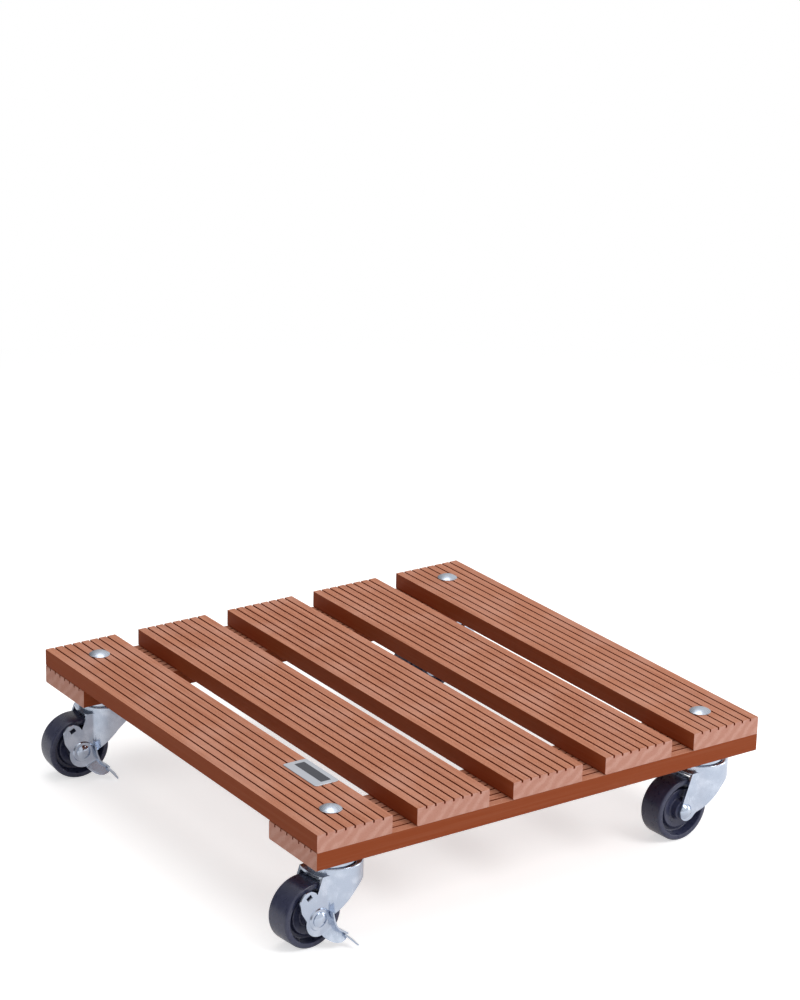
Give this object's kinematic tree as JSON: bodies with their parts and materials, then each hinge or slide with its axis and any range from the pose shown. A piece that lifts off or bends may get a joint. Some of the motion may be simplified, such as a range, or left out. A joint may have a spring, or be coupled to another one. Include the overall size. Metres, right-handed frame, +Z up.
{
  "type": "plant pot caddy",
  "caption": "Square low caddy of grooved wood-plastic slats on swivel casters, two with foot brakes, for moving a heavy plant pot.",
  "frame": {"origin": "on the floor under the middle of the deck", "axes": "+Z up, X across the slats with the braked casters at -X, Y along the slats, and the front with the name plate at -Y"},
  "size_m": [0.4164, 0.4004, 0.1013],
  "materials": {
    "deck_board": "matt, red-brown wood-plastic, grooved",
    "plate_metal": "satin",
    "screw_steel": "satin",
    "zinc_pressing": "bright zinc plating",
    "zinc_fastener": "bright zinc plating",
    "bearing_steel": "polished",
    "wheel_plastic": "satin black"
  },
  "bodies": {
    "deck": {"caster_bolt_front_left": "zinc_fastener", "caster_bolt_front_right": "zinc_fastener", "caster_bolt_rear_left": "zinc_fastener", "caster_bolt_rear_right": "zinc_fastener", "caster_nut_front_left": "zinc_fastener", "caster_nut_front_right": "zinc_fastener", "caster_nut_rear_left": "zinc_fastener", "caster_nut_rear_right": "zinc_fastener", "crossbar_front": "deck_board", "crossbar_rear": "deck_board", "deck_screws_front": "screw_steel", "deck_screws_rear": "screw_steel", "name_plate": "plate_metal", "slat_1": "deck_board", "slat_2": "deck_board", "slat_3": "deck_board", "slat_4": "deck_board", "slat_5": "deck_board", "swivel_cap_front_left": "zinc_pressing", "swivel_cap_front_right": "zinc_pressing", "swivel_cap_rear_left": "zinc_pressing", "swivel_cap_rear_right": "zinc_pressing", "thrust_washer_front_left": "zinc_fastener", "thrust_washer_front_right": "zinc_fastener", "thrust_washer_rear_left": "zinc_fastener", "thrust_washer_rear_right": "zinc_fastener"},
    "fork_front_left": {"axle_bolt_front_left": "zinc_fastener", "axle_nut_front_left": "zinc_fastener", "brake_cam_front_left": "zinc_fastener", "fork_front_left": "zinc_pressing", "swivel_balls_front_left": "bearing_steel", "wheel_sleeve_front_left": "bearing_steel"},
    "wheel_front_left": {"wheel_front_left": "wheel_plastic"},
    "lever_front_left": {"brake_lever_front_left": "zinc_pressing"},
    "fork_rear_left": {"axle_bolt_rear_left": "zinc_fastener", "axle_nut_rear_left": "zinc_fastener", "brake_cam_rear_left": "zinc_fastener", "fork_rear_left": "zinc_pressing", "swivel_balls_rear_left": "bearing_steel", "wheel_sleeve_rear_left": "bearing_steel"},
    "wheel_rear_left": {"wheel_rear_left": "wheel_plastic"},
    "lever_rear_left": {"brake_lever_rear_left": "zinc_pressing"},
    "fork_front_right": {"axle_rivet_front_right": "zinc_fastener", "fork_front_right": "zinc_pressing", "swivel_balls_front_right": "bearing_steel", "wheel_sleeve_front_right": "bearing_steel"},
    "wheel_front_right": {"wheel_front_right": "wheel_plastic"},
    "fork_rear_right": {"axle_rivet_rear_right": "zinc_fastener", "fork_rear_right": "zinc_pressing", "swivel_balls_rear_right": "bearing_steel", "wheel_sleeve_rear_right": "bearing_steel"},
    "wheel_rear_right": {"wheel_rear_right": "wheel_plastic"}
  },
  "joints": [
    {"name": "swivel_front_left", "type": "hinge", "parent": "deck", "child": "fork_front_left", "pos_m": [-0.1685, -0.1685, 0.07], "axis": [0, 0, 1], "continuous": true},
    {"name": "roll_front_left", "type": "hinge", "parent": "fork_front_left", "child": "wheel_front_left", "pos_m": [-0.19069, -0.17068, 0.025], "axis": [0.0976, -0.9952, 0], "continuous": true},
    {"name": "brake_front_left", "type": "hinge", "parent": "fork_front_left", "child": "lever_front_left", "pos_m": [-0.19069, -0.17068, 0.025], "axis": [0.0976, -0.9952, 0], "range_deg": [0, 17]},
    {"name": "swivel_rear_left", "type": "hinge", "parent": "deck", "child": "fork_rear_left", "pos_m": [-0.1685, 0.1685, 0.07], "axis": [0, 0, 1], "continuous": true},
    {"name": "roll_rear_left", "type": "hinge", "parent": "fork_rear_left", "child": "wheel_rear_left", "pos_m": [-0.19071, 0.17052, 0.025], "axis": [-0.0906, -0.9959, 0], "continuous": true},
    {"name": "brake_rear_left", "type": "hinge", "parent": "fork_rear_left", "child": "lever_rear_left", "pos_m": [-0.19071, 0.17052, 0.025], "axis": [-0.0906, -0.9959, 0], "range_deg": [0, 17]},
    {"name": "swivel_front_right", "type": "hinge", "parent": "deck", "child": "fork_front_right", "pos_m": [0.1685, -0.1685, 0.07], "axis": [0, 0, 1], "continuous": true},
    {"name": "roll_front_right", "type": "hinge", "parent": "fork_front_right", "child": "wheel_front_right", "pos_m": [0.14625, -0.16994, 0.025], "axis": [0.0645, -0.9979, 0], "continuous": true},
    {"name": "swivel_rear_right", "type": "hinge", "parent": "deck", "child": "fork_rear_right", "pos_m": [0.1685, 0.1685, 0.07], "axis": [0, 0, 1], "continuous": true},
    {"name": "roll_rear_right", "type": "hinge", "parent": "fork_rear_right", "child": "wheel_rear_right", "pos_m": [0.14621, 0.16928, 0.025], "axis": [-0.0349, -0.9994, 0], "continuous": true}
  ]
}
